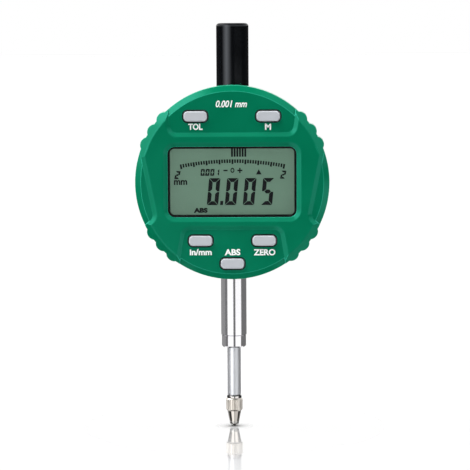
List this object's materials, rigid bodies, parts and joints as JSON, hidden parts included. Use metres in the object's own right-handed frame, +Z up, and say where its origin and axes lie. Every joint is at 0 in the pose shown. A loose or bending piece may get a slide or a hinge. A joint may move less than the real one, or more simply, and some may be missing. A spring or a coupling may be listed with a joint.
{
  "type": "digital dial indicator",
  "caption": "Plunger dial indicator with a round turning display head, buttons, clamping stem, lug back and spring-loaded spindle with a ball contact point.",
  "frame": {"origin": "on the spindle axis, at the middle of the clamping length of the stem", "axes": "+Z up the spindle, away from the contact point; the display faces -Y; +X to the right of the display"},
  "size_m": [0.06, 0.0373, 0.1273],
  "materials": {
    "head_green": "satin",
    "clear_window": "clear",
    "black_rubber": "matt",
    "grey_rubber": "matt",
    "lcd_glass": "grey-green, with dark segments",
    "white_plastic": "matt",
    "board_green": "satin",
    "chip_black": "matt",
    "switch_steel": "satin",
    "screw_steel": "satin",
    "spring_steel": "bright",
    "button_grey": "satin",
    "case_black": "black, fine texture",
    "cover_black": "black, fine texture",
    "cap_black": "gloss",
    "door_black": "satin",
    "dark_steel": "blackened and polished",
    "stem_steel": "ground",
    "spindle_steel": "polished",
    "tip_steel": "ground",
    "ball_carbide": "polished",
    "brass_bush": "turned",
    "aluminium_block": "milled",
    "scale_glass": "copper strips on glass epoxy",
    "ribbon_amber": "satin",
    "battery_steel": "bright"
  },
  "bodies": {
    "case": {"rear_case": "case_black", "turning_seal": "black_rubber", "back_cover": "cover_black", "cover_screws": "screw_steel", "cover_gasket": "black_rubber", "data_port_plug": "black_rubber", "data_connector": "chip_black", "port_board": "board_green", "stem": "stem_steel", "lower_bush": "stem_steel", "upper_bush": "brass_bush", "stop_bumper": "black_rubber", "spindle_cap": "cap_black", "head_snap_ring": "spring_steel", "guide_rail": "brass_bush", "guide_screws": "screw_steel", "sensor_board": "board_green", "sensor_screws": "screw_steel", "sensor_socket": "white_plastic", "ribbon_cable": "ribbon_amber", "anchor_pin": "spring_steel", "return_spring": "spring_steel", "battery_cradle": "white_plastic", "battery": "battery_steel", "negative_contact": "spring_steel"},
    "spindle_train": {"spindle": "spindle_steel", "contact_seal": "dark_steel", "contact_point": "tip_steel", "contact_ball": "ball_carbide", "stop_collar": "brass_bush", "carrier": "aluminium_block", "clamp_screw": "screw_steel", "moving_scale": "scale_glass", "guide_pin": "spring_steel", "spring_pin": "spring_steel"},
    "display_head": {"head_shell": "head_green", "window_pane": "clear_window", "window_gasket": "black_rubber", "lcd_panel": "lcd_glass", "lcd_holder": "white_plastic", "zebra_strips": "grey_rubber", "main_board": "board_green", "board_chips": "chip_black", "ribbon_socket": "white_plastic", "key_switches": "switch_steel", "head_plate": "case_black", "head_screws": "screw_steel"},
    "tolerance_key": {"button_tolerance": "button_grey"},
    "memory_key": {"button_memory": "button_grey"},
    "unit_key": {"button_unit": "button_grey"},
    "zero_key": {"button_zero": "button_grey"},
    "abs_key": {"button_abs": "button_grey"},
    "battery_door": {"battery_cap": "door_black", "battery_cap_seal": "black_rubber", "positive_contact": "spring_steel"}
  },
  "joints": [
    {"name": "spindle_slide", "type": "slide", "parent": "case", "child": "spindle_train", "axis": [0, 0, 1], "range_m": [0, 0.0127], "stiffness_N_per_m": 40, "springref_m": -0.015, "deforming": ["return_spring"]},
    {"name": "head_turn", "type": "hinge", "parent": "case", "child": "display_head", "pos_m": [0, -0.01, 0.0392], "axis": [0, -1, 0], "range_deg": [-135, 135]},
    {"name": "tolerance_press", "type": "slide", "parent": "display_head", "child": "tolerance_key", "axis": [0, 1, 0], "range_m": [0, 0.0005], "stiffness_N_per_m": 3000, "springref_m": -0.0002},
    {"name": "memory_press", "type": "slide", "parent": "display_head", "child": "memory_key", "axis": [0, 1, 0], "range_m": [0, 0.0005], "stiffness_N_per_m": 3000, "springref_m": -0.0002},
    {"name": "unit_press", "type": "slide", "parent": "display_head", "child": "unit_key", "axis": [0, 1, 0], "range_m": [0, 0.0005], "stiffness_N_per_m": 3000, "springref_m": -0.0002},
    {"name": "zero_press", "type": "slide", "parent": "display_head", "child": "zero_key", "axis": [0, 1, 0], "range_m": [0, 0.0005], "stiffness_N_per_m": 3000, "springref_m": -0.0002},
    {"name": "abs_press", "type": "slide", "parent": "display_head", "child": "abs_key", "axis": [0, 1, 0], "range_m": [0, 0.0005], "stiffness_N_per_m": 3000, "springref_m": -0.0002},
    {"name": "battery_cap_turn", "type": "hinge", "parent": "case", "child": "battery_door", "pos_m": [0.015, 0.008, 0.0392], "axis": [0, 1, 0], "range_deg": [0, 60]}
  ]
}
